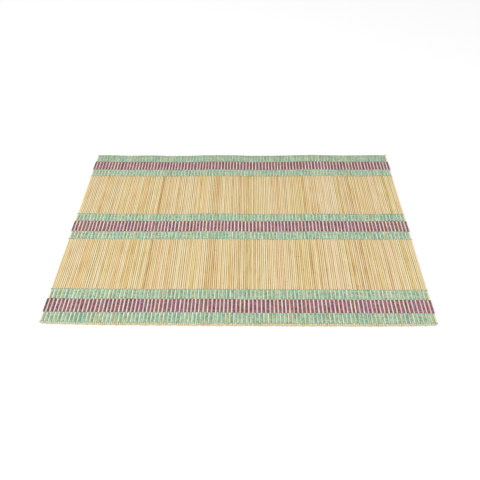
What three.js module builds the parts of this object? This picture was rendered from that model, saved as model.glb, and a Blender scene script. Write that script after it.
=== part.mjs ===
// A flat bamboo placemat. Straight bamboo sticks lie side by side from the near edge to the far
// edge, and three bands of coloured cotton thread, woven over and under them, bind them into a mat.
// Each band is a purple stripe between two green ones.
// Millimetres. +X runs along the mat, across the sticks; +Y runs along the sticks to the far edge;
// +Z is up. The origin is the middle of the underside.
import * as THREE from "three";

// Driving dimensions
const MAT = { length: 450, depth: 300 };
const STICK = {
  count: 191, // an odd number, so that a purple float closes the weave at both ends
  thickness: 1.5,
  crownShare: 0.56, // width of the flat crown, as a share of the pitch
  webThickness: 0.6, // where neighbouring sticks meet, at the bottom of the groove
  endInset: 0.5, // how far the groove stops short of the stick's end
  endUneven: 1.1, // the shortest stick's end lies this far inside the longest's
  crownUneven: 0.14, // the thinnest stick is thinner than the thickest by this
};
const THREAD = {
  floatThickness: 0.45, // the thread where it floats over a stick
  dipThickness: 0.2, // where it dives between two sticks
  floatShare: 0.44, // flat top of a float, as a share of two pitches
  riseShare: 0.09, // the slope at each side of a float, as a share of two pitches
};
const CLEARANCE = 0.3; // between any two pieces
const STRIPE_WIDTH = { green: 14.2, purple: 18.2 };
const EDGE_MARGIN = 2.2; // bare stick ends outside the near and far bands

// What follows from them
const SLEEVE_WALL = CLEARANCE + THREAD.floatThickness;
const MID_HEIGHT = STICK.thickness / 2 + SLEEVE_WALL;
const FIELD_LENGTH = MAT.length - 2 * SLEEVE_WALL;
const PITCH = FIELD_LENGTH / STICK.count;
const BAND_WIDTH = 2 * STRIPE_WIDTH.green + STRIPE_WIDTH.purple;
const BAND_OFFSET = MAT.depth / 2 - EDGE_MARGIN - BAND_WIDTH / 2;
const GREEN_OFFSET = (STRIPE_WIDTH.purple + STRIPE_WIDTH.green) / 2;

const BANDS = [
  { name: "far", y: BAND_OFFSET },
  { name: "middle", y: 0 },
  { name: "near", y: -BAND_OFFSET },
];
const STRIPES = [
  { name: "green_a", colour: "green", y: GREEN_OFFSET },
  { name: "purple", colour: "purple", y: 0 },
  { name: "green_b", colour: "green", y: -GREEN_OFFSET },
];

const MATERIALS = {
  bamboo: new THREE.MeshStandardMaterial({ color: 0xdfc598, roughness: 0.62, metalness: 0 }),
  green: new THREE.MeshStandardMaterial({ color: 0x8cbcae, roughness: 0.9, metalness: 0 }),
  purple: new THREE.MeshStandardMaterial({ color: 0x89657f, roughness: 0.9, metalness: 0 }),
};

// A repeatable number from 0 to 1 for each stick and use, because no two sticks are cut alike.
function chance(index, use) {
  const wave = Math.sin(index * 12.9898 + use * 78.233) * 43758.5453;
  return wave - Math.floor(wave);
}

const USE = { nearEnd: 1, farEnd: 2, crown: 3 };
const LONGEST_SHARE = 0.1; // this share of the sticks is left at full length

// How far inside the mat's edge a stick ends.
function endSetback(index, use) {
  if (index < 0 || index >= STICK.count) return 0;
  const share = (chance(index, use) - LONGEST_SHARE) / (1 - LONGEST_SHARE);
  return STICK.endUneven * Math.max(0, share);
}

// The four corners of the stick sheet where it is cut across at x: near and far ends, below and above.
function cutAcross(x, halfThickness, nearSetback, farSetback) {
  const near = nearSetback - MAT.depth / 2;
  const far = MAT.depth / 2 - farSetback;
  const below = MID_HEIGHT - halfThickness;
  const above = MID_HEIGHT + halfThickness;
  return [
    [x, near, below],
    [x, far, below],
    [x, far, above],
    [x, near, above],
  ];
}

// The groove on the left of a stick, or on the right of the last one.
function groove(index) {
  const setback = (use) => Math.max(endSetback(index - 1, use), endSetback(index, use)) + STICK.endInset;
  const x = index * PITCH - FIELD_LENGTH / 2;
  return cutAcross(x, STICK.webThickness / 2, setback(USE.nearEnd), setback(USE.farEnd));
}

// The two edges of a stick's flat crown.
function crown(index) {
  const half = (STICK.thickness - STICK.crownUneven * chance(index, USE.crown)) / 2;
  const middle = (index + 0.5) * PITCH - FIELD_LENGTH / 2;
  const reach = (STICK.crownShare * PITCH) / 2;
  const nearSetback = endSetback(index, USE.nearEnd);
  const farSetback = endSetback(index, USE.farEnd);
  return [-reach, reach].map((dx) => cutAcross(middle + dx, half, nearSetback, farSetback));
}

// One closed skin through rings of equal length, with a flat cap of two triangles at each end.
function loftThroughFours(rings) {
  const faces = [];
  const corners = rings[0].length;
  for (let ring = 0; ring + 1 < rings.length; ring++) {
    for (let corner = 0; corner < corners; corner++) {
      const next = (corner + 1) % corners;
      const a = ring * corners + corner;
      const b = ring * corners + next;
      faces.push(a, b, a + corners, b, b + corners, a + corners);
    }
  }
  const last = (rings.length - 1) * corners;
  faces.push(0, 2, 1, 0, 3, 2);
  faces.push(last, last + 1, last + 2, last, last + 2, last + 3);
  const geometry = new THREE.BufferGeometry();
  geometry.setAttribute("position", new THREE.Float32BufferAttribute(rings.flat(2), 3));
  geometry.setIndex(faces);
  geometry.computeVertexNormals();
  return geometry;
}

// All the sticks, joined along their grooves, each with its own length and thickness.
function stickSheet() {
  const rings = [];
  for (let index = 0; index < STICK.count; index++) {
    rings.push(groove(index), ...crown(index));
  }
  rings.push(groove(STICK.count));
  return loftThroughFours(rings);
}

// The upper outline of a purple stripe, from right to left: a float over every second stick.
function floatOutline() {
  const top = 2 * MID_HEIGHT;
  const dip = top - (THREAD.floatThickness - THREAD.dipThickness);
  const flat = THREAD.floatShare * PITCH;
  const foot = flat + 2 * THREAD.riseShare * PITCH;
  const points = [];
  for (let index = STICK.count - 1; index >= 0; index -= 2) {
    const middle = (index + 0.5) * PITCH - FIELD_LENGTH / 2;
    points.push([middle + foot, dip], [middle + flat, top], [middle - flat, top], [middle - foot, dip]);
  }
  return points;
}

// A stripe of thread as a sleeve round the sticks, open only at its two long sides.
function threadSleeve(width, upperOutline) {
  const reach = MAT.length / 2;
  const upper = upperOutline.length ? upperOutline[0][1] : 2 * MID_HEIGHT;
  const outline = [[-reach, 0], [reach, 0], [reach, upper], ...upperOutline, [-reach, upper]];
  const shape = new THREE.Shape(outline.map(([x, z]) => new THREE.Vector2(x, z)));
  const innerReach = FIELD_LENGTH / 2 + CLEARANCE;
  const innerHalf = STICK.thickness / 2 + CLEARANCE;
  const inside = [
    [-innerReach, MID_HEIGHT - innerHalf],
    [-innerReach, MID_HEIGHT + innerHalf],
    [innerReach, MID_HEIGHT + innerHalf],
    [innerReach, MID_HEIGHT - innerHalf],
  ];
  shape.holes.push(new THREE.Path(inside.map(([x, z]) => new THREE.Vector2(x, z))));
  const geometry = new THREE.ExtrudeGeometry(shape, { depth: width, bevelEnabled: false });
  geometry.rotateX(Math.PI / 2);
  geometry.translate(0, width / 2, 0);
  return geometry;
}

function namedMesh(name, geometry, material) {
  const mesh = new THREE.Mesh(geometry, material);
  mesh.name = name;
  return mesh;
}

function threadBand(band) {
  const group = new THREE.Group();
  group.position.y = band.y;
  for (const stripe of STRIPES) {
    const width = STRIPE_WIDTH[stripe.colour] - CLEARANCE;
    const upperOutline = stripe.colour === "purple" ? floatOutline() : [];
    const name = `${band.name}_${stripe.name}`;
    const mesh = namedMesh(name, threadSleeve(width, upperOutline), MATERIALS[stripe.colour]);
    mesh.position.y = stripe.y;
    group.add(mesh);
  }
  return group;
}

const placemat = new THREE.Group();
placemat.add(namedMesh("sticks", stickSheet(), MATERIALS.bamboo));
for (const band of BANDS) {
  placemat.add(threadBand(band));
}

export default placemat;
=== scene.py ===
# A flat bamboo placemat: bamboo sticks, bound side by side by three bands of coloured thread.
# Metres, in the part's own frame: X runs across the sticks, Y along them and Z up from the surface.
import math
import bmesh
import bpy
import numpy as np
from mathutils import Matrix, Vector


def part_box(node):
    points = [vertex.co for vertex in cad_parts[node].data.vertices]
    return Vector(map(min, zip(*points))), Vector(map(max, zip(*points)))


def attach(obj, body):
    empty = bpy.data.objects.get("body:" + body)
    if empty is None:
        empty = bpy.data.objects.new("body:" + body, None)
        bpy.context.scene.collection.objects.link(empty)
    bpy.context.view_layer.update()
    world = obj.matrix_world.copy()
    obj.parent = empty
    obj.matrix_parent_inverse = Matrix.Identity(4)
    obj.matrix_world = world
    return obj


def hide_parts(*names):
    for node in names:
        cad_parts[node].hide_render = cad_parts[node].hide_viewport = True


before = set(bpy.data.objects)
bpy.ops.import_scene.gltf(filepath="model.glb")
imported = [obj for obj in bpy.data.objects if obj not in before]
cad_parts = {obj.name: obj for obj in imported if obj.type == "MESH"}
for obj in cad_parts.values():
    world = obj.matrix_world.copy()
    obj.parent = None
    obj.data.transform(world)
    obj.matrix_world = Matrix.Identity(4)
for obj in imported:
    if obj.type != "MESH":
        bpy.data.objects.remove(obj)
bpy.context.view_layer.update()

# Camera. It stands in front of the near edge, a little to the right of the middle, and looks down.
# Its place, turns and focal length were fitted to the mat's corners and bands in the photograph.
MM = 0.001
CAMERA_PLACE = (13.4 * MM, -402.6 * MM, 445.7 * MM)
CAMERA_DOWN = math.radians(49.455)
CAMERA_YAW = math.radians(1.81)
CAMERA_ROLL = math.radians(-1.28)
SENSOR_WIDTH = 36.0
PICTURE_WIDTH = 480
FOCAL_PIXELS = 446.0

bpy.ops.object.camera_add(location=CAMERA_PLACE)
camera = bpy.context.object
camera.name = "camera"
turn = Matrix.Rotation(CAMERA_YAW, 3, "Z")
turn = turn @ Matrix.Rotation(math.pi / 2 - CAMERA_DOWN, 3, "X")
turn = turn @ Matrix.Rotation(CAMERA_ROLL, 3, "Z")
camera.rotation_euler = turn.to_euler()
camera.data.sensor_width = SENSOR_WIDTH
camera.data.lens = FOCAL_PIXELS / PICTURE_WIDTH * SENSOR_WIDTH
camera.data.clip_start = 0.01
bpy.context.scene.camera = camera

# Floor and light. The photograph has a pure white ground and light from all sides, with hardly a
# shadow, so the floor is a matt off-white sheet under an even white sky and one wide soft light,
# which stands on the camera's side.
FLOOR_SIZE = 8.0
FLOOR_WHITE = "#FEFEFE"
SKY_STRENGTH = 0.84
SOFTBOX_WIDTH = 1.6
SOFTBOX_PLACE = (-0.6, -0.80, 1.40)
SOFTBOX_WATTS = 13.0


def linear_colour(code):
    """The linear colour, with an alpha of 1, of an sRGB colour written as #RRGGBB."""
    shades = [int(code[start : start + 2], 16) / 255 for start in (1, 3, 5)]
    return [*(s / 12.92 if s <= 0.04045 else ((s + 0.055) / 1.055) ** 2.4 for s in shades), 1.0]


def new_material(name, **shader_values):
    """A new material, its node tree and its shader, with the values that are the same all over."""
    material = bpy.data.materials.new(name)
    material.use_nodes = True
    shader = material.node_tree.nodes["Principled BSDF"]
    for socket, value in shader_values.items():
        shader.inputs[socket.replace("_", " ")].default_value = value
    return material, material.node_tree, shader


bpy.ops.object.select_all(action="DESELECT")
bpy.ops.mesh.primitive_plane_add(size=FLOOR_SIZE)
floor = bpy.context.object
floor.name = "floor"
floor_paper = new_material("matt_white_paper", Base_Color=linear_colour(FLOOR_WHITE), Roughness=0.95)[0]
floor.data.materials.append(floor_paper)

sky = bpy.data.worlds.new("soft_white_sky")
sky.use_nodes = True
sky.node_tree.nodes["Background"].inputs["Color"].default_value = (1.0, 1.0, 1.0, 1.0)
sky.node_tree.nodes["Background"].inputs["Strength"].default_value = SKY_STRENGTH
bpy.context.scene.world = sky
bpy.context.scene.view_settings.view_transform = "Standard"

bpy.ops.object.light_add(type="AREA", location=SOFTBOX_PLACE)
softbox = bpy.context.object
softbox.name = "softbox"
softbox.data.size = SOFTBOX_WIDTH
softbox.data.energy = SOFTBOX_WATTS
softbox.rotation_euler = (-softbox.location).to_track_quat("-Z", "Y").to_euler()

# Bamboo sticks. Each is split from a bamboo cane, planed to a rounded section and cut off square.
# 191 of them lie side by side, and none is quite like the next in width, length or colour.
STICK_COUNT = 191
STICK_WIDTH = 2.16 * MM
STICK_THICKNESS = 1.9 * MM
STICK_ROUNDING = 0.55 * MM
END_CHAMFER = 0.14 * MM
BEND_STATIONS = (-0.5, 0.0, 0.5)  # where a stick may bend, from -1 at its near end to 1 at its far one
STICK_END = 0.9  # from here to 1, a point belongs to the stick's end
ROUND_BELOW = math.radians(50)  # faces that meet at a smaller angle look like one round face
TOUCHING = 0.01 * MM  # points that are closer than this are one
# How much the sticks differ: the spread and the limit of their widths, as shares, the most that one is
# thinner or thicker, and the most that one bows between two bands or leans over its whole length.
WIDTH_SPREAD = 0.05
WIDTH_LIMIT = 0.13
UNEVEN = {"thickness": 0.05 * MM, "bow": 0.12 * MM, "lean": 0.04 * MM}
GAP_LEAST = 0.04 * MM  # between two sticks
GAP_SHAPE = (1.0, 2.4)  # of a beta distribution: most gaps are narrow, and a few are wide
# How far the longest and the shortest stick stop short of the mat's edge.
END_SHORT = {"near": (0.0, 1.0 * MM), "far": (0.0, 1.0 * MM)}
# The near edge isn't quite straight. At its two corners it is this much further back than in its
# middle, and the stripe of threads nearest to it is narrower there.
CORNERS_BACK = 1.7 * MM
# The left edge leans out by this much at the near corner and in at the far one, and the lean fades
# out towards the right edge.
FAN = 1.2 * MM
# The mat doesn't lie quite flat: soft ridges run along the sticks. A row for each ridge, in
# millimetres: where it is, how far it reaches to each side, and its lift at the near and far edges.
RIDGES = [
    {"x": -212, "reach": 30, "near": 0.5, "far": 2.0},
    {"x": -148, "reach": 26, "near": 0.0, "far": 0.9},
    {"x": -36, "reach": 40, "near": 0.7, "far": 1.4},
    {"x": 109, "reach": 34, "near": 0.4, "far": 1.3},
    {"x": 205, "reach": 22, "near": 0.6, "far": 0.7},
]

random = np.random.default_rng(seed=300)
sticks_low, sticks_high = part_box("sticks")
mat_length = sticks_high.x - sticks_low.x
mat_depth = sticks_high.y - sticks_low.y
mid_height = (sticks_low.z + sticks_high.z) / 2
stick_pitch = mat_length / STICK_COUNT
first_stick_x = sticks_low.x + stick_pitch / 2


def fan_of_mat(x, y):
    """How far the lean of the left edge moves the point x, y to the right."""
    from_right = 0.5 - x / mat_length
    return FAN * from_right**2 * y / (mat_depth / 2)


def corners_of_mat(x, y):
    """How far back the near edge's corners move the point x, y. Only the nearest stripe gives way."""
    stripe_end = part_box("near_green_b")[1].y
    share = ((stripe_end - y) / (stripe_end - sticks_low.y)).clip(0, 1)
    return CORNERS_BACK * share * (x / (mat_length / 2)) ** 4


def lift_of_mat(x, y):
    """How high the mat's soft ridges lift the point x, y off the surface."""
    far_share = y / mat_depth + 0.5
    lift = np.zeros_like(x)
    for ridge in RIDGES:
        height = ridge["near"] * (1 - far_share) + ridge["far"] * far_share
        away = (x / MM - ridge["x"]) / ridge["reach"]
        lift += height * MM * np.exp(-away * away)
    return lift


def select_in_edit_mode(piece, kind, wanted):
    """Selects the "edges" or "faces" of a piece for which wanted is true, and nothing else."""
    bpy.ops.mesh.select_mode(type={"edges": "EDGE", "faces": "FACE"}[kind])
    bpy.ops.mesh.select_all(action="DESELECT")
    net = bmesh.from_edit_mesh(piece.data)
    for item in getattr(net, kind):
        item.select_set(wanted(item))
    bmesh.update_edit_mesh(piece.data)


def repeat_along(piece, count, step, merge):
    """Repeats a piece in a row, each copy a step from the last, and joins them."""
    array = piece.modifiers.new("row", "ARRAY")
    array.count = count
    array.use_relative_offset = False
    array.use_constant_offset = True
    array.constant_offset_displace = step
    array.use_merge_vertices = merge
    array.merge_threshold = TOUCHING
    bpy.ops.object.modifier_apply(modifier=array.name)


def read_points(piece):
    """The places of a piece's points, one row for each."""
    points = np.empty(len(piece.data.vertices) * 3)
    piece.data.vertices.foreach_get("co", points)
    return points.reshape(-1, 3)


def write_points(piece, points):
    """Moves a piece's points to new places."""
    piece.data.vertices.foreach_set("co", points.ravel())
    piece.data.update()


def write_attribute(piece, name, values):
    """Gives each point of a piece a value that its material reads by name."""
    layer = piece.data.attributes.new(name, "FLOAT", "POINT")
    layer.data.foreach_set("value", np.asarray(values, dtype=np.float32))


bpy.ops.object.select_all(action="DESELECT")
bpy.ops.mesh.primitive_cube_add(size=1, location=(first_stick_x, 0, mid_height))
sticks = bpy.context.object
sticks.name = "bamboo_sticks"
sticks.scale = (STICK_WIDTH, mat_depth, STICK_THICKNESS)
bpy.ops.object.transform_apply(location=True, rotation=False, scale=True)
bpy.ops.object.mode_set(mode="EDIT")
select_in_edit_mode(sticks, "edges", lambda edge: edge.calc_length() > mat_depth / 2)
bpy.ops.mesh.bevel(offset=STICK_ROUNDING, segments=2, affect="EDGES")
select_in_edit_mode(sticks, "faces", lambda face: round(abs(face.normal.y)) == 1)
bpy.ops.mesh.region_to_loop()
bpy.ops.mesh.bevel(offset=END_CHAMFER, segments=1, affect="EDGES")
for station in BEND_STATIONS:
    bpy.ops.mesh.select_all(action="SELECT")
    bpy.ops.mesh.bisect(plane_co=(0, station * mat_depth / 2, 0), plane_no=(0, 1, 0))
bpy.ops.object.mode_set(mode="OBJECT")
points_per_stick = len(sticks.data.vertices)
repeat_along(sticks, STICK_COUNT, (stick_pitch, 0, 0), merge=False)
bpy.ops.object.shade_smooth_by_angle(angle=ROUND_BELOW)

# The sticks fill the row from edge to edge, each with its own width and a gap of its own beside it.
stick_stretch = 1 + random.normal(0, WIDTH_SPREAD, STICK_COUNT).clip(-WIDTH_LIMIT, WIDTH_LIMIT)
stick_width = STICK_WIDTH * stick_stretch
gap = random.beta(*GAP_SHAPE, STICK_COUNT - 1)
gap *= (mat_length - stick_width.sum() - GAP_LEAST * len(gap)) / gap.sum()
stick_left = sticks_low.x + np.cumsum(stick_width + np.append(0, gap + GAP_LEAST)) - stick_width
stick_x = stick_left + stick_width / 2
stick_of_point = np.arange(len(sticks.data.vertices)) // points_per_stick


def per_stick(low, high):
    """A random value for each stick, given to all of its points."""
    return random.uniform(low, high, STICK_COUNT)[stick_of_point]


points = read_points(sticks)
along = points[:, 1] / (mat_depth / 2)
from_centre = points[:, 0] - (first_stick_x + stick_of_point * stick_pitch)
from_middle = points[:, 2] - mid_height
from_middle *= 1 + per_stick(-1, 1) * UNEVEN["thickness"] / STICK_THICKNESS
between_bands = np.isclose(np.abs(along), BEND_STATIONS[-1])
bow = np.where(between_bands, np.where(along < 0, per_stick(-1, 1), per_stick(-1, 1)), 0)
points[:, 0] = stick_x[stick_of_point] + from_centre * stick_stretch[stick_of_point]
points[:, 0] += bow * UNEVEN["bow"] + per_stick(-1, 1) * along * UNEVEN["lean"]
points[:, 0] += fan_of_mat(stick_x[stick_of_point], points[:, 1])
points[:, 1] -= np.where(along > STICK_END, per_stick(*END_SHORT["far"]), 0)
points[:, 1] += np.where(along < -STICK_END, per_stick(*END_SHORT["near"]), 0)
points[:, 1] += corners_of_mat(points[:, 0], points[:, 1])
points[:, 2] = mid_height + from_middle + lift_of_mat(stick_x[stick_of_point], points[:, 1])
write_points(sticks, points)

# Neighbouring sticks often come from one cane, so part of a stick's tone and warmth is its own and part
# is its group's. A stick is also often paler at one end, the mat's first and last are pale all over,
# and about two in three have a ring where a leaf joint of the cane was.
TONE = {"middle": 0.44, "own": 0.155, "group": 0.03, "slope": 0.06, "edges": (0.2, 0.35)}
WARMTH = {"middle": 0.50, "own": 0.08, "group": 0.18}
GROUP_SPREAD = 5  # sticks
EDGE_STAIN_AND_SHADE = 0.3  # how much of the dye and painted shade of the bands shows on the first and last sticks
RING_SHARE = 0.65
NO_RING = 1.0  # a place far outside the mat
straight_side = STICK_THICKNESS / 2 - STICK_ROUNDING


def by_cane(spread):
    """A random value for each stick, partly its own and partly shared with its neighbours."""
    window = np.hanning(GROUP_SPREAD + 2)[1:-1]
    shared = random.normal(0, 1, STICK_COUNT + GROUP_SPREAD - 1)
    shared = np.convolve(shared, window / np.sqrt((window**2).sum()), "valid")
    own = random.normal(0, 1, STICK_COUNT)
    return spread["middle"] + spread["own"] * own + spread["group"] * shared


stick_tone = by_cane(TONE)
stick_tone[[0, -1]] = TONE["edges"]
stick_slope = random.normal(0, TONE["slope"], STICK_COUNT)
write_attribute(sticks, "tone", stick_tone[stick_of_point] + stick_slope[stick_of_point] * along)
write_attribute(sticks, "warmth", by_cane(WARMTH).clip(0, 1)[stick_of_point])
ring_place = random.uniform(-mat_depth / 2, mat_depth / 2, STICK_COUNT)
ring_place[random.uniform(0, 1, STICK_COUNT) > RING_SHARE] = NO_RING
write_attribute(sticks, "ring_place", ring_place[stick_of_point])
write_attribute(sticks, "end_grain", np.abs(along) > 1 - END_CHAMFER / mat_depth)
on_first_stick = stick_of_point == 0
on_last_stick = stick_of_point == STICK_COUNT - 1
# The sides of the sticks carry painted shade from the gaps between them. The mat's two outer sides have no
# neighbour, so they get none.
on_mat_edge = (on_first_stick & (from_centre < 0)) | (on_last_stick & (from_centre > 0))
on_side = (1 - (np.abs(from_middle) - straight_side) / STICK_ROUNDING).clip(0, 1)
write_attribute(sticks, "side", np.where(on_mat_edge, 0, on_side))
write_attribute(sticks, "stained_and_shaded", np.where(on_first_stick | on_last_stick, EDGE_STAIN_AND_SHADE, 1))

# Split bamboo, planed and left bare: silky, with fine straight fibres and a slow change of tone.
BAMBOO_TONES = [(0.0, "#F0E2BE"), (0.4, "#EBD6A4"), (0.72, "#E3C384"), (1.0, "#C89C54")]
FIBRE_DARK = "#B08A54"
RING_DARK = "#A9814D"
SIDE_PAINTED_SHADE = "#8F7040"  # painted shade on the sticks' sides, from the gaps between them
SIDE_PAINTED_SHADE_SHARE = 0.8
END_GRAIN = "#D0C6A8"
FIBRE_WIDTH = 0.30 * MM  # across the grain
FIBRE_LENGTH = 20.0 * MM  # along it
FIBRE_SPAN = (0.52, 0.80)  # of what the noise gives: from a plain place to the darkest fibre
FIBRE_DEPTH = 0.45
FIBRE_RELIEF = {"Strength": 0.35, "Distance": 0.05 * MM}
CLOUD_WIDTH = 2.3 * MM  # the slow change of tone, across and along the sticks
CLOUD_LENGTH = 26.0 * MM
CLOUD_DEPTH = 0.52
HUE_SPREAD = 0.011  # to each side, from greenish yellow to pinkish
RING_WIDTH = 0.9 * MM
RING_DEPTH = 0.55
RING_RELIEF = {"Strength": 0.4, "Distance": 0.1 * MM}
# Between the threads the sticks are pale with fluff and size from the weaving, and the dye of the threads
# has rubbed off on them, on some more than on others, most of all down their sides, where painted shade
# from the threads is mixed in. Painted shade also darkens some where they sit deeper between the threads.
BAND_SPACING = sum(corner.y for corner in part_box("far_purple")) / 2  # from one band's middle to the next
PURPLE_REACH = 9.1 * MM  # from the middle of a band to the edge of its purple stripe
GREEN_REACH = 23.3 * MM  # and to the edge of its green ones
FAR_PALER = 0.10  # how much paler the sticks are between the far purple threads than the near ones
STAIN_WIDTH = 2.4 * MM
STAIN_LENGTH = 14.0 * MM
STAIN_SPAN = (0.40, 0.60)  # of what the noise gives: from the weakest stain to the strongest
STAINS = {"purple": "#F3BDCC", "green": "#B0DCB8"}
STAIN_STRENGTH = (0.3, 1.0)
FLUFF = {"purple": "#EFE9D4", "green": "#EFE9D4"}
FLUFF_STRENGTH = (0.0, 0.7)
DEEPER_PAINTED_SHADE = {"purple": "#A07F86", "green": "#7E9480"}  # painted shade, where a stick sits deeper between the threads
DEEPER_PAINTED_SHADE_STRENGTH = (0.0, 0.35)
# Down the sticks' sides within the bands: dye of the threads, mixed with painted shade from the threads
# beside them.
SIDE_DYE_AND_SHADE = {"purple": "#9A6F82", "green": "#7FA38C"}
SIDE_DYE_AND_SHADE_STRENGTH = (0.0, 0.55)
SIDE_SPAN = (0.0, 0.4)  # from the edge of a stick's flat top to nearly halfway down its rounding
COLOUR_A, COLOUR_B, COLOUR_OUT = 6, 7, 2  # the colour sockets of a Mix node


def add_node(tree, kind, inputs=None, **settings):
    """Adds one shader node. An input is a value, or the output of another node."""
    made = tree.nodes.new(kind)
    for name, value in settings.items():
        setattr(made, name, value)
    for name, value in (inputs or {}).items():
        if isinstance(value, bpy.types.NodeSocket):
            tree.links.new(value, made.inputs[name])
        else:
            made.inputs[name].default_value = value
    return made


bamboo, tree, shader = new_material("split_bamboo", Roughness=0.50, IOR=1.5)
place = add_node(tree, "ShaderNodeTexCoord").outputs["Object"]
y = add_node(tree, "ShaderNodeSeparateXYZ", {"Vector": place}).outputs["Y"]
fibre_scale = (1 / FIBRE_WIDTH, 1 / FIBRE_LENGTH, 1 / FIBRE_WIDTH)
fibre_place = add_node(tree, "ShaderNodeMapping", {"Vector": place, "Scale": fibre_scale})
fibre = add_node(tree, "ShaderNodeTexNoise", {"Vector": fibre_place.outputs["Vector"], "Scale": 1.0})
fibre_dark = add_node(
    tree,
    "ShaderNodeMapRange",
    {
        "Value": fibre.outputs["Fac"],
        "From Min": FIBRE_SPAN[0],
        "From Max": FIBRE_SPAN[1],
        "To Max": FIBRE_DEPTH,
    },
)
cloud_scale = (1 / CLOUD_WIDTH, 1 / CLOUD_LENGTH, 1 / CLOUD_WIDTH)
cloud_place = add_node(tree, "ShaderNodeMapping", {"Vector": place, "Scale": cloud_scale})
cloud = add_node(tree, "ShaderNodeTexNoise", {"Vector": cloud_place.outputs["Vector"], "Scale": 1.0})
cloud_shift = add_node(
    tree,
    "ShaderNodeMapRange",
    {"Value": cloud.outputs["Fac"], "To Min": -CLOUD_DEPTH, "To Max": CLOUD_DEPTH},
)
tone = add_node(tree, "ShaderNodeAttribute", attribute_name="tone")
tone_here = add_node(
    tree,
    "ShaderNodeMath",
    {0: tone.outputs["Fac"], 1: cloud_shift.outputs["Result"]},
    operation="ADD",
    use_clamp=True,
)
cane_colour = add_node(tree, "ShaderNodeValToRGB", {"Fac": tone_here.outputs["Value"]})
stops = cane_colour.color_ramp.elements
while len(stops) < len(BAMBOO_TONES):
    stops.new(0.5)
for stop, (position, colour) in zip(stops, BAMBOO_TONES):
    stop.position = position
    stop.color = linear_colour(colour)
warmth = add_node(tree, "ShaderNodeAttribute", attribute_name="warmth")
hue_here = add_node(
    tree,
    "ShaderNodeMapRange",
    {"Value": warmth.outputs["Fac"], "To Min": 0.5 + HUE_SPREAD, "To Max": 0.5 - HUE_SPREAD},
)
own_colour = add_node(
    tree,
    "ShaderNodeHueSaturation",
    {"Hue": hue_here.outputs["Result"], "Color": cane_colour.outputs["Color"]},
)
with_fibres = add_node(
    tree,
    "ShaderNodeMix",
    {
        0: fibre_dark.outputs["Result"],
        COLOUR_A: own_colour.outputs["Color"],
        COLOUR_B: linear_colour(FIBRE_DARK),
    },
    data_type="RGBA",
)
ring_place = add_node(tree, "ShaderNodeAttribute", attribute_name="ring_place")
from_ring = add_node(tree, "ShaderNodeMath", {0: y, 1: ring_place.outputs["Fac"]}, operation="SUBTRACT")
off_ring = add_node(tree, "ShaderNodeMath", {0: from_ring.outputs["Value"]}, operation="ABSOLUTE")
ring = add_node(
    tree,
    "ShaderNodeMapRange",
    {"Value": off_ring.outputs["Value"], "From Max": RING_WIDTH, "To Min": RING_DEPTH, "To Max": 0.0},
)
with_rings = add_node(
    tree,
    "ShaderNodeMix",
    {
        0: ring.outputs["Result"],
        COLOUR_A: with_fibres.outputs[COLOUR_OUT],
        COLOUR_B: linear_colour(RING_DARK),
    },
    data_type="RGBA",
)
# Painted shade on the sticks' sides, from the gaps between neighbouring sticks.
side = add_node(tree, "ShaderNodeAttribute", attribute_name="side")
side_painted_shade_share = add_node(
    tree, "ShaderNodeMath", {0: side.outputs["Fac"], 1: SIDE_PAINTED_SHADE_SHARE}, operation="MULTIPLY"
)
with_side_painted_shade = add_node(
    tree,
    "ShaderNodeMix",
    {
        0: side_painted_shade_share.outputs["Value"],
        COLOUR_A: with_rings.outputs[COLOUR_OUT],
        COLOUR_B: linear_colour(SIDE_PAINTED_SHADE),
    },
    data_type="RGBA",
)
from_band = add_node(tree, "ShaderNodeMath", {0: y, 1: BAND_SPACING / 2}, operation="PINGPONG")
in_band = add_node(
    tree, "ShaderNodeMath", {0: from_band.outputs["Value"], 1: GREEN_REACH}, operation="LESS_THAN"
)
stain_and_shade_share = add_node(tree, "ShaderNodeAttribute", attribute_name="stained_and_shaded")
can_stain_and_shade = add_node(
    tree,
    "ShaderNodeMath",
    {0: in_band.outputs["Value"], 1: stain_and_shade_share.outputs["Fac"]},
    operation="MULTIPLY",
)
in_purple = add_node(
    tree, "ShaderNodeMath", {0: from_band.outputs["Value"], 1: PURPLE_REACH}, operation="LESS_THAN"
)
stain_scale = (1 / STAIN_WIDTH, 1 / STAIN_LENGTH, 0)
stain_place = add_node(tree, "ShaderNodeMapping", {"Vector": place, "Scale": stain_scale})
stain_cloud = add_node(tree, "ShaderNodeTexNoise", {"Vector": stain_place.outputs["Vector"], "Scale": 1.0})
clouds = add_node(tree, "ShaderNodeSeparateColor", {"Color": stain_cloud.outputs["Color"]})


def stain_and_shade_between_threads(colour_below, cloud, cloud_span, strength, colours):
    """Lays a colour over the sticks within the bands by a cloud, with its own colour in the purple
    stripes.
    It serves for the stains, the fluff and the painted shade.
    """
    depth = add_node(
        tree,
        "ShaderNodeMapRange",
        {
            "Value": cloud,
            "From Min": cloud_span[0],
            "From Max": cloud_span[1],
            "To Min": strength[0],
            "To Max": strength[1],
        },
    )
    share = add_node(
        tree,
        "ShaderNodeMath",
        {0: can_stain_and_shade.outputs["Value"], 1: depth.outputs["Result"]},
        operation="MULTIPLY",
    )
    colour = add_node(
        tree,
        "ShaderNodeMix",
        {
            0: in_purple.outputs["Value"],
            COLOUR_A: linear_colour(colours["green"]),
            COLOUR_B: linear_colour(colours["purple"]),
        },
        data_type="RGBA",
    )
    stained_and_shaded = add_node(
        tree,
        "ShaderNodeMix",
        {
            0: share.outputs["Value"],
            COLOUR_A: colour_below,
            COLOUR_B: colour.outputs[COLOUR_OUT],
        },
        data_type="RGBA",
    )
    return stained_and_shaded.outputs[COLOUR_OUT]


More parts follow.
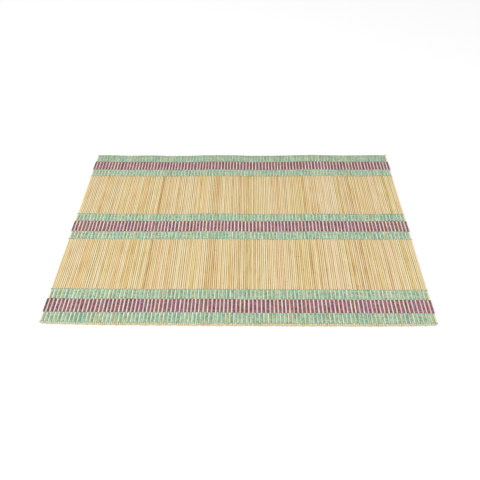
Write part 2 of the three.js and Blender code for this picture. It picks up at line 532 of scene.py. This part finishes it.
# In turn: pale dye, fluff, painted shade where a stick sits deeper, and dye mixed with painted shade down
# the sides.
stained_and_shaded = with_side_painted_shade.outputs[COLOUR_OUT]
stained_and_shaded = stain_and_shade_between_threads(stained_and_shaded, clouds.outputs["Green"], STAIN_SPAN, STAIN_STRENGTH, STAINS)
stained_and_shaded = stain_and_shade_between_threads(stained_and_shaded, clouds.outputs["Red"], STAIN_SPAN, FLUFF_STRENGTH, FLUFF)
stained_and_shaded = stain_and_shade_between_threads(stained_and_shaded, clouds.outputs["Blue"], STAIN_SPAN, DEEPER_PAINTED_SHADE_STRENGTH, DEEPER_PAINTED_SHADE)
stained_and_shaded = stain_and_shade_between_threads(stained_and_shaded, side.outputs["Fac"], SIDE_SPAN, SIDE_DYE_AND_SHADE_STRENGTH, SIDE_DYE_AND_SHADE)
towards_far = add_node(
    tree,
    "ShaderNodeMapRange",
    {"Value": y, "From Min": -mat_depth / 2, "From Max": mat_depth / 2, "To Max": FAR_PALER},
)
paler = add_node(
    tree,
    "ShaderNodeMath",
    {0: in_purple.outputs["Value"], 1: towards_far.outputs["Result"], 2: 1.0},
    operation="MULTIPLY_ADD",
)
between_threads = add_node(
    tree, "ShaderNodeHueSaturation", {"Color": stained_and_shaded, "Value": paler.outputs["Value"]}
)
end_grain = add_node(tree, "ShaderNodeAttribute", attribute_name="end_grain")
with_ends = add_node(
    tree,
    "ShaderNodeMix",
    {
        0: end_grain.outputs["Fac"],
        COLOUR_A: between_threads.outputs["Color"],
        COLOUR_B: linear_colour(END_GRAIN),
    },
    data_type="RGBA",
)
tree.links.new(with_ends.outputs[COLOUR_OUT], shader.inputs["Base Color"])
ring_relief = add_node(tree, "ShaderNodeBump", {"Height": ring.outputs["Result"], **RING_RELIEF})
fibre_relief = add_node(
    tree,
    "ShaderNodeBump",
    {"Height": fibre.outputs["Fac"], "Normal": ring_relief.outputs["Normal"], **FIBRE_RELIEF},
)
tree.links.new(fibre_relief.outputs["Normal"], shader.inputs["Normal"])
sticks.data.materials.append(bamboo)
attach(sticks, "root")
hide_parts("sticks")

# Thread stripes. Soft cotton threads lie side by side and run over one stick and under the next, the
# purple ones over the first stick and the green ones under it, so the stripes alternate like bricks.
# A thin thread along the outer border of each green stripe goes the other way and locks it.
THREAD_SPACING = 1.14 * MM
THREAD_THICKNESS = 0.55 * MM
THREAD_OVERLAP = 1.06  # soft threads press their neighbours: the width of one, over their spacing
THREAD_SIDES = 6
LOCKING_WIDTH = 0.55 * MM
KNOT_WIDTH = 1.0 * MM  # of the locking thread where it turns round an edge stick
STRIPE_GAP = 0.3 * MM  # between two stripes' solids
SHOULDER_REACH = 0.48  # of the stick pitch, from a stick's centre to where the thread turns down
SHOULDER_DROP = 0.18 * MM
SHOULDER_TILT = math.radians(52)
TUCK = 0.1  # of the stick pitch, from an edge stick's centre to the thread's tucked end
CUT_REACH = 0.35  # and outwards to the end of a thread that is cut off below the edge stick
# How far a stripe, a thread in it and a float of a thread stray sideways, and how low a float may lie.
WAVER ={"stripe": 0.22 * MM, "thread": 0.09 * MM, "float": 0.12 * MM, "height": 0.05 * MM}
LONG_WAVE = 41 * MM  # along a thread, for one radian of its slow wave
SHORT_WAVE = 17 * MM  # and of the quicker one on top of it
# The weave isn't quite even: how far a stripe's near and far borders wander, in millimetres.
BORDER_DRIFT = {
    "far_green_a": {"near": 0.0, "far": 1.1},
    "far_green_b": {"near": -0.45, "far": 0.0},
    "middle_green_a": {"near": 0.55, "far": 0.0},
    "middle_purple": {"near": 0.0, "far": 0.55},
    "middle_green_b": {"near": 0.6, "far": 0.0},
}

# Soft-spun cotton, dyed: matt, a little hairy, with a slow diagonal twist that shows as fine ridges.
# The dye took unevenly, so no two floats have quite one colour, and each is flecked.
THREAD_COLOURS = {
    "purple": [(0.0, "#896880"), (0.5, "#906A73"), (1.0, "#926D61")],
    "green": [(0.0, "#8DBBA8"), (0.5, "#A4BEA5"), (1.0, "#BCBF95")],
}
THREAD_SHADOW = {"purple": "#674456", "green": "#739F88"}
# The tone, from dark 0 to light 1: the middle one, how far the single floats, the threads and the
# rows of floats along one stick spread round it, the shift on the edge sticks, and the locking
# thread's own tone.
THREAD_TONE = {
    "middle": 0.5,
    "float": 0.35,
    "thread": 0.10,
    "row": 0.22,
    "edge": -0.5,
    "locking": 0.1,
}
# How much is added to the tone of a band's threads, apart from the locking ones.
BAND_TONE = {
    "purple": {"far": -0.20, "middle": 0.0, "near": 0.04},
    "green": {"far": 0.0, "middle": 0.02, "near": 0.02},
}
TONE_DEPTH = {"purple": 0.38, "green": 0.33}  # of the brightness, for tones from 0 to 1
ROW_HUE_SPREAD = 0.30  # of the floats along one stick
ROW_FADE_SPREAD = 0.25
SATURATION = (1.35, 0.65)  # of the dye, from where it is fresh to where it has faded
FLECK_SIZE = 2.2 * MM
# The most that a fleck shifts the tone, the fade and the hue.
FLECK_TONE = {"purple": 2.1, "green": 1.2}
FLECK_FADE = 2.4
FLECK_HUE = 1.5
TWIST_LENGTH = 1.3 * MM  # along the thread, for one ridge
TWIST_UNEVEN = {"Distortion": 0.6, "Detail": 1.0}
TWIST_RELIEF = {"Strength": 0.5, "Distance": 0.08 * MM}
GROOVE_DEPTH = 0.30  # how much of the thread's shadow shows between two ridges
FUZZ_SIZE = 0.12 * MM
FUZZ_RELIEF = {"Strength": 0.3, "Distance": 0.05 * MM}
DIAGONAL_PERIOD = 2 * math.pi / 10  # of a diagonal Wave texture at scale 1


def thread_material(colour):
    """The cotton of one colour. Each point of a thread brings its own tone, hue and fade."""
    material, tree, shader = new_material(
        colour + "_cotton",
        Roughness=0.9,
        Specular_IOR_Level=0.15,
        Sheen_Weight=0.06,
        Sheen_Roughness=0.6,
    )
    place = add_node(tree, "ShaderNodeTexCoord").outputs["Object"]
    fleck = add_node(tree, "ShaderNodeTexNoise", {"Vector": place, "Scale": 1 / FLECK_SIZE})
    flecks = add_node(tree, "ShaderNodeSeparateColor", {"Color": fleck.outputs["Color"]})
    hue = add_node(tree, "ShaderNodeAttribute", attribute_name="hue")
    hue_shift = add_node(
        tree,
        "ShaderNodeMapRange",
        {"Value": flecks.outputs["Green"], "To Min": -FLECK_HUE, "To Max": FLECK_HUE},
    )
    hue_here = add_node(
        tree, "ShaderNodeMath", {0: hue.outputs["Fac"], 1: hue_shift.outputs["Result"]}, operation="ADD"
    )
    dye = add_node(tree, "ShaderNodeValToRGB", {"Fac": hue_here.outputs["Value"]})
    stops = dye.color_ramp.elements
    stops.new(0.5)
    for stop, (position, shade) in zip(stops, THREAD_COLOURS[colour]):
        stop.position = position
        stop.color = linear_colour(shade)
    tone = add_node(tree, "ShaderNodeAttribute", attribute_name="tone")
    tone_shift = add_node(
        tree,
        "ShaderNodeMapRange",
        {"Value": flecks.outputs["Red"], "To Min": -FLECK_TONE[colour], "To Max": FLECK_TONE[colour]},
    )
    tone_here = add_node(
        tree, "ShaderNodeMath", {0: tone.outputs["Fac"], 1: tone_shift.outputs["Result"]}, operation="ADD"
    )
    brightness = add_node(
        tree,
        "ShaderNodeMapRange",
        {
            "Value": tone_here.outputs["Value"],
            "To Min": 1 - TONE_DEPTH[colour],
            "To Max": 1 + TONE_DEPTH[colour],
        },
    )
    fade = add_node(tree, "ShaderNodeAttribute", attribute_name="fade")
    fade_shift = add_node(
        tree,
        "ShaderNodeMapRange",
        {"Value": flecks.outputs["Blue"], "To Min": -FLECK_FADE, "To Max": FLECK_FADE},
    )
    fade_here = add_node(
        tree, "ShaderNodeMath", {0: fade.outputs["Fac"], 1: fade_shift.outputs["Result"]}, operation="ADD"
    )
    saturation = add_node(
        tree,
        "ShaderNodeMapRange",
        {"Value": fade_here.outputs["Value"], "To Min": SATURATION[0], "To Max": SATURATION[1]},
    )
    dyed = add_node(
        tree,
        "ShaderNodeHueSaturation",
        {
            "Color": dye.outputs["Color"],
            "Saturation": saturation.outputs["Result"],
            "Value": brightness.outputs["Result"],
        },
    )
    twist_scale = (DIAGONAL_PERIOD / TWIST_LENGTH, DIAGONAL_PERIOD / THREAD_SPACING, 0)
    twist_place = add_node(tree, "ShaderNodeMapping", {"Vector": place, "Scale": twist_scale})
    twist = add_node(
        tree,
        "ShaderNodeTexWave",
        {"Vector": twist_place.outputs["Vector"], "Scale": 1.0, **TWIST_UNEVEN},
        bands_direction="DIAGONAL",
    )
    groove = add_node(
        tree, "ShaderNodeMapRange", {"Value": twist.outputs["Fac"], "To Min": GROOVE_DEPTH, "To Max": 0.0}
    )
    twisted = add_node(
        tree,
        "ShaderNodeMix",
        {
            0: groove.outputs["Result"],
            COLOUR_A: dyed.outputs["Color"],
            COLOUR_B: linear_colour(THREAD_SHADOW[colour]),
        },
        data_type="RGBA",
    )
    tree.links.new(twisted.outputs[COLOUR_OUT], shader.inputs["Base Color"])
    fuzz = add_node(tree, "ShaderNodeTexNoise", {"Vector": place, "Scale": 1 / FUZZ_SIZE})
    fuzz_relief = add_node(tree, "ShaderNodeBump", {"Height": fuzz.outputs["Fac"], **FUZZ_RELIEF})
    twist_relief = add_node(
        tree,
        "ShaderNodeBump",
        {"Height": twist.outputs["Fac"], "Normal": fuzz_relief.outputs["Normal"], **TWIST_RELIEF},
    )
    tree.links.new(twist_relief.outputs["Normal"], shader.inputs["Normal"])
    return material


thread_materials = {colour: thread_material(colour) for colour in THREAD_COLOURS}

crest = STICK_THICKNESS / 2 + THREAD_THICKNESS / 2
shoulder = crest - SHOULDER_DROP
reach = SHOULDER_REACH * stick_pitch
# One repeat of the weave, from the top of one float to the top of the next. A row for each turn of
# the thread: how far along, how high over the sticks' middle, and how steeply it falls there.
WEAVE = [
    {"x": reach, "z": shoulder, "tilt": SHOULDER_TILT},
    {"x": stick_pitch - reach, "z": -shoulder, "tilt": SHOULDER_TILT},
    {"x": stick_pitch, "z": -crest, "tilt": 0},
    {"x": stick_pitch + reach, "z": -shoulder, "tilt": -SHOULDER_TILT},
    {"x": 2 * stick_pitch - reach, "z": shoulder, "tilt": -SHOULDER_TILT},
    {"x": 2 * stick_pitch, "z": crest, "tilt": 0},
]
# A thread that passes over the last stick turns round it, and its end is tucked in below. The rows
# here and in the next list are like those above.
EDGE_TURN = [
    {"x": reach, "z": shoulder, "tilt": SHOULDER_TILT},
    {"x": (STICK_WIDTH + THREAD_THICKNESS) / 2, "z": 0, "tilt": math.pi / 2},
    {"x": reach, "z": -shoulder, "tilt": math.pi - SHOULDER_TILT},
    {"x": TUCK * stick_pitch, "z": -crest, "tilt": math.pi},
]
# A thread that comes below the last stick goes straight on there and is cut off. It is made upside
# down, and turned over when it is finished.
CUT_END = [{"x": CUT_REACH * stick_pitch, "z": crest, "tilt": 0}]


def extrude_along(route, start_x, forward):
    """Extrudes the selected ring of thread along a route, forward (1) or mirrored (-1)."""
    at = {"x": 0, "z": crest, "tilt": 0}
    for turn in route:
        move = (forward * (turn["x"] - at["x"]), 0, turn["z"] - at["z"])
        bpy.ops.mesh.extrude_region_move(TRANSFORM_OT_translate={"value": move})
        centre = (start_x + forward * turn["x"], 0, mid_height + turn["z"])
        fall = forward * (turn["tilt"] - at["tilt"])
        # With no window the operator turns the other way, so the angle is negative.
        bpy.ops.transform.rotate(value=-fall, orient_axis="Y", center_override=centre)
        at = turn


bpy.ops.object.select_all(action="DESELECT")
bpy.ops.mesh.primitive_circle_add(
    vertices=THREAD_SIDES,
    radius=THREAD_THICKNESS / 2,
    location=(first_stick_x, 0, mid_height + crest),
    rotation=(0, math.pi / 2, 0),
)
thread = bpy.context.object
bpy.ops.object.transform_apply(location=True, rotation=True, scale=True)
bpy.ops.object.mode_set(mode="EDIT")
bpy.ops.mesh.select_all(action="SELECT")
extrude_along(WEAVE, first_stick_x, 1)
bpy.ops.object.mode_set(mode="OBJECT")
repeats = (STICK_COUNT - 1) // 2
repeat_along(thread, repeats, (2 * stick_pitch, 0, 0), merge=True)
last_stick_x = first_stick_x + repeats * 2 * stick_pitch


def copy_thread(source, name, middle_y=0.0, width=THREAD_THICKNESS):
    """A copy of a thread, moved to middle_y and pressed to a width, and selected alone."""
    piece = source.copy()
    piece.data = source.data.copy()
    piece.name = name
    bpy.context.collection.objects.link(piece)
    points = read_points(piece)
    points[:, 1] = middle_y + points[:, 1] * width / THREAD_THICKNESS
    write_points(piece, points)
    bpy.ops.object.select_all(action="DESELECT")
    piece.select_set(True)
    bpy.context.view_layer.objects.active = piece
    return piece


def end_thread(name, route):
    """A copy of the thread with both its ends led on from the edge sticks along a route."""
    piece = copy_thread(thread, name)
    bpy.ops.object.mode_set(mode="EDIT")
    for edge_x, outward in ((first_stick_x, -1), (last_stick_x, 1)):
        select_in_edit_mode(
            piece, "edges", lambda edge: all(abs(end.co.x - edge_x) < TOUCHING for end in edge.verts)
        )
        extrude_along(route, edge_x, outward)
        bpy.ops.mesh.edge_face_add()
    bpy.ops.mesh.select_all(action="SELECT")
    bpy.ops.mesh.normals_make_consistent(inside=False)
    bpy.ops.object.mode_set(mode="OBJECT")
    bpy.ops.object.shade_smooth()
    return piece


over_thread = end_thread("thread_over_first_stick", EDGE_TURN)
under_thread = end_thread("thread_under_first_stick", CUT_END)
under_points = read_points(under_thread)
under_points[:, 2] = 2 * mid_height - under_points[:, 2]
write_points(under_thread, under_points)
under_thread.data.flip_normals()


def slow_wave(x, phases):
    """A smooth wave from about -1 to 1 along x, different for each pair of phases."""
    return (np.sin(x / LONG_WAVE + phases[..., 0]) + np.sin(x / SHORT_WAVE + phases[..., 1])) / 2


def weave_stripe(band, colour, letter, over_first_stick, locked=0):
    """Lays one stripe of threads side by side where the solid stripe of the same name lies. It is
    locked along its far border (1), its near one (-1) or neither (0)."""
    node = f"{band}_{colour}{letter}"
    low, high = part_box(node)
    drift = BORDER_DRIFT.get(node, {"near": 0.0, "far": 0.0})
    near_border = low.y - STRIPE_GAP / 2 + drift["near"] * MM
    far_border = high.y + STRIPE_GAP / 2 + drift["far"] * MM
    if locked > 0:
        far_border -= LOCKING_WIDTH
    if locked < 0:
        near_border += LOCKING_WIDTH
    count = round((far_border - near_border) / THREAD_SPACING)
    spacing = (far_border - near_border) / count
    kind, other_kind = (over_thread, under_thread) if over_first_stick else (under_thread, over_thread)
    stripe = copy_thread(kind, node + "_threads", near_border + spacing / 2, spacing * THREAD_OVERLAP)
    repeat_along(stripe, count, (0, spacing, 0), merge=False)
    thread_of_point = np.repeat(np.arange(count), len(kind.data.vertices))
    if locked:
        outer_border = far_border if locked > 0 else near_border
        lock_y = outer_border + locked * LOCKING_WIDTH / 2
        copy_thread(other_kind, "locking_thread", lock_y, LOCKING_WIDTH)
        bpy.context.view_layer.objects.active = stripe
        stripe.select_set(True)
        bpy.ops.object.join()
        thread_of_point = np.append(thread_of_point, np.repeat(count, len(other_kind.data.vertices)))
        count += 1

    points = read_points(stripe)
    nearest_stick = np.rint((points[:, 0] - first_stick_x) / stick_pitch)
    stick_of_point = nearest_stick.astype(int).clip(0, STICK_COUNT - 1)
    if locked:
        is_knot = (thread_of_point == count - 1) & np.isin(stick_of_point, (0, STICK_COUNT - 1))
        points[is_knot, 1] = lock_y + (points[is_knot, 1] - lock_y) * KNOT_WIDTH / LOCKING_WIDTH
    float_size = random.uniform(-1, 0, (count, STICK_COUNT))[thread_of_point, stick_of_point]
    points[:, 2] += np.sign(points[:, 2] - mid_height) * float_size * WAVER["height"]
    from_centre = points[:, 0] - (first_stick_x + stick_of_point * stick_pitch)
    points[:, 0] = stick_x[stick_of_point] + from_centre * stick_stretch[stick_of_point]
    points[:, 1] += WAVER["stripe"] * slow_wave(points[:, 0], random.uniform(0, 2 * math.pi, 2))
    own_phases = random.uniform(0, 2 * math.pi, (count, 2))[thread_of_point]
    points[:, 1] += WAVER["thread"] * slow_wave(points[:, 0], own_phases)
    float_shift = random.uniform(-1, 1, (count, STICK_COUNT))[thread_of_point, stick_of_point]
    points[:, 1] += WAVER["float"] * float_shift
    points[:, 1] += corners_of_mat(points[:, 0], points[:, 1])
    points[:, 2] += lift_of_mat(points[:, 0], points[:, 1])
    points[:, 0] += fan_of_mat(points[:, 0], points[:, 1])
    write_points(stripe, points)
    float_tone = random.normal(0, THREAD_TONE["float"], (count, STICK_COUNT))
    thread_tone = random.normal(THREAD_TONE["middle"], THREAD_TONE["thread"], count)
    thread_tone += BAND_TONE[colour][band]
    row_tone = random.normal(0, THREAD_TONE["row"], STICK_COUNT)
    row_tone[[0, -1]] = THREAD_TONE["edge"]
    if locked:
        thread_tone[-1] = THREAD_TONE["locking"]
    tone = float_tone + thread_tone[:, np.newaxis] + row_tone
    write_attribute(stripe, "tone", tone[thread_of_point, stick_of_point])
    row_hue = random.normal(0.5, ROW_HUE_SPREAD, STICK_COUNT).clip(0, 1)
    write_attribute(stripe, "hue", row_hue[stick_of_point])
    row_fade = random.normal(0.5, ROW_FADE_SPREAD, STICK_COUNT).clip(0, 1)
    write_attribute(stripe, "fade", row_fade[stick_of_point])
    stripe.data.materials.append(thread_materials[colour])
    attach(stripe, "root")
    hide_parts(node)
    return stripe


for band in ("far", "middle", "near"):
    weave_stripe(band, "green", "_a", over_first_stick=False, locked=1)
    weave_stripe(band, "purple", "", over_first_stick=True)
    weave_stripe(band, "green", "_b", over_first_stick=False, locked=-1)
for model in (thread, over_thread, under_thread):
    bpy.data.objects.remove(model)

# Loose end. The thread that locks the far edge was cut a little long, and its end stands up at the
# right corner. It is the same cotton as the stripe that it comes from.
LOOSE_END = [
    {"x": 0.5 * MM, "z": crest + 0.3 * MM, "tilt": math.radians(-40)},
    {"x": 0.9 * MM, "z": crest + 1.2 * MM, "tilt": math.radians(-70)},
    {"x": 1.1 * MM, "z": crest + 2.3 * MM, "tilt": math.radians(-80)},
]
LOOSE_END_LEAN = 0.4  # backwards, for each unit upwards
LOOSE_END_LOOK = {"tone": 0.0, "hue": 0.3, "fade": 0.3}

bpy.ops.object.select_all(action="DESELECT")
bpy.ops.mesh.primitive_circle_add(
    vertices=THREAD_SIDES,
    radius=THREAD_THICKNESS / 2,
    location=(last_stick_x, 0, mid_height + crest),
    rotation=(0, math.pi / 2, 0),
)
loose_end = bpy.context.object
loose_end.name = "loose_thread_end"
bpy.ops.object.transform_apply(location=True, rotation=True, scale=True)
bpy.ops.object.mode_set(mode="EDIT")
bpy.ops.mesh.select_all(action="SELECT")
extrude_along(LOOSE_END, last_stick_x, 1)
bpy.ops.mesh.select_all(action="SELECT")
bpy.ops.mesh.fill_holes(sides=0)
bpy.ops.mesh.normals_make_consistent(inside=False)
bpy.ops.object.mode_set(mode="OBJECT")
bpy.ops.object.shade_smooth()
points = read_points(loose_end)
points[:, 0] += stick_x[-1] - last_stick_x
points[:, 1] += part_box("far_green_a")[1].y + (STRIPE_GAP - LOCKING_WIDTH) / 2
points[:, 1] += BORDER_DRIFT["far_green_a"]["far"] * MM
points[:, 1] += (points[:, 2] - mid_height - crest) * LOOSE_END_LEAN
points[:, 2] += lift_of_mat(points[:, 0], points[:, 1])
points[:, 0] += fan_of_mat(points[:, 0], points[:, 1])
write_points(loose_end, points)
for name, value in LOOSE_END_LOOK.items():
    write_attribute(loose_end, name, np.full(len(points), value))
loose_end.data.materials.append(thread_materials["green"])
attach(loose_end, "root")
